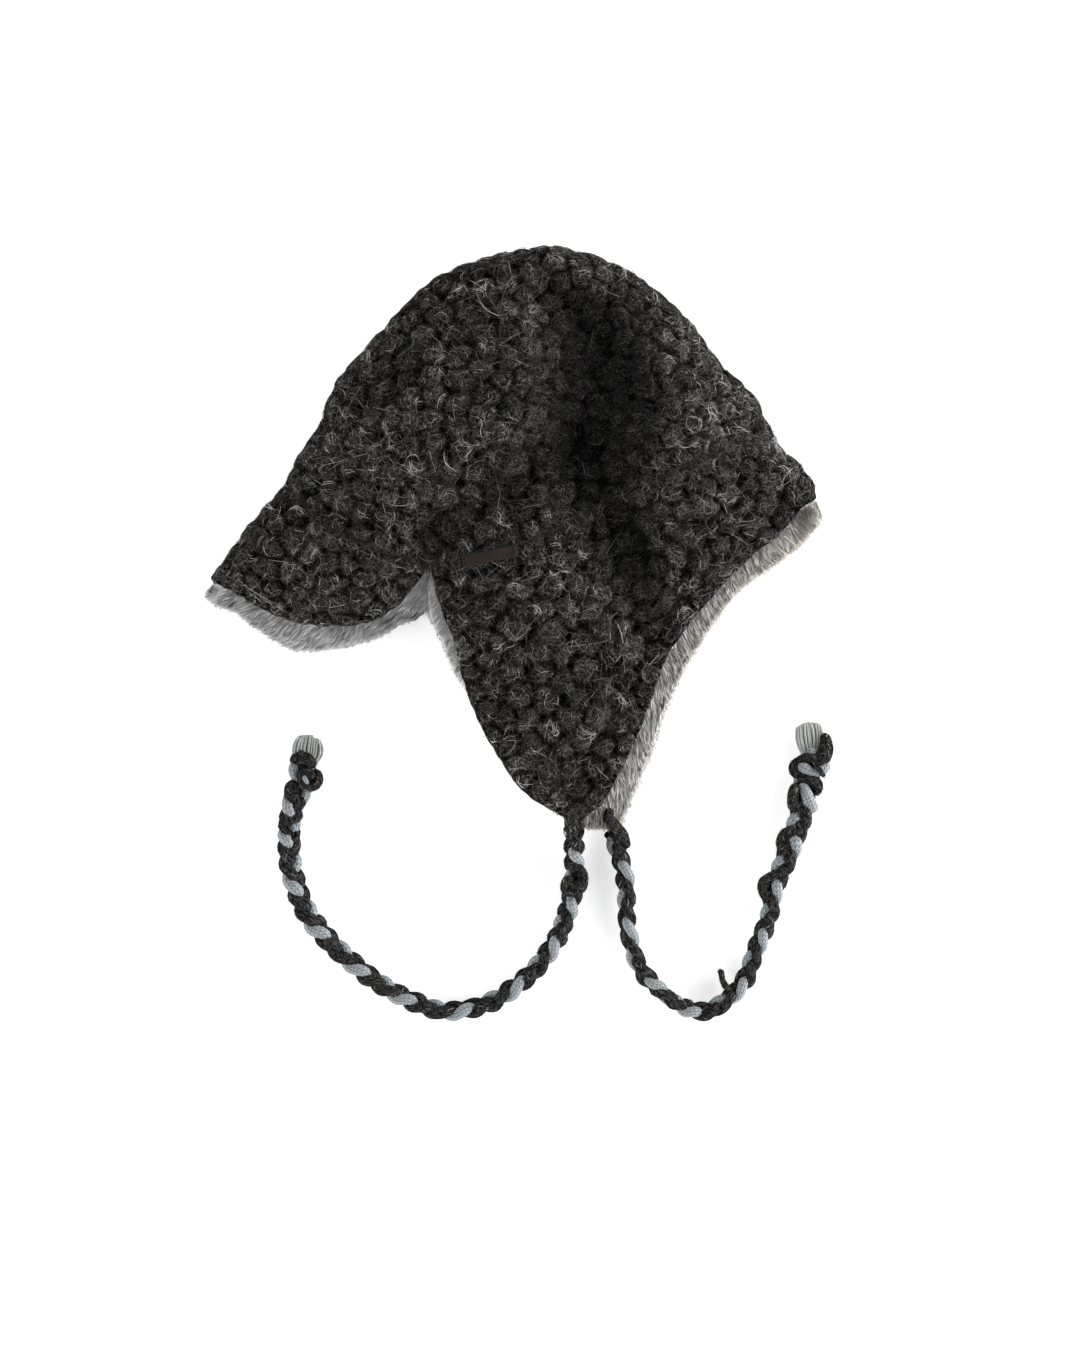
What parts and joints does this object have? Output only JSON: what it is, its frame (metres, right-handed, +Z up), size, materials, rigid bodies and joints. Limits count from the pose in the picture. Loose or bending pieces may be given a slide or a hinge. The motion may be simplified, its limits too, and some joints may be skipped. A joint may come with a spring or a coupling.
{
  "type": "knitted ear flap hat",
  "caption": "Chunky knitted winter hat with a peak, ear flaps, fur fabric lining and braided ties, lying folded flat on its side.",
  "frame": {"origin": "on the surface that the hat lies on, under the middle of the hat without its ties", "axes": "+X from the peak's tip towards the nape, +Y from the ear flaps towards the crown's top, +Z up, away from the surface"},
  "size_m": [0.3376, 0.4262, 0.0557],
  "materials": {
    "knit": "fuzzy bobble knit, dark grey wool",
    "fur_fabric": "short light grey fur fabric",
    "leather": "smooth dark brown",
    "braid": "two dark wool strands and one light cotton strand",
    "cotton": "light grey threads"
  },
  "bodies": {
    "root": {"knit_crown": "knit", "knit_peak": "knit", "knit_flap_band": "knit", "peak_lining": "fur_fabric", "flap_band_lining": "fur_fabric", "leather_tab": "leather", "near_tie_braid": "braid", "near_tie_knot": "braid", "near_tie_tassel": "cotton", "far_tie_braid": "braid", "far_tie_knot": "braid", "far_tie_tassel": "cotton"}
  },
  "joints": []
}
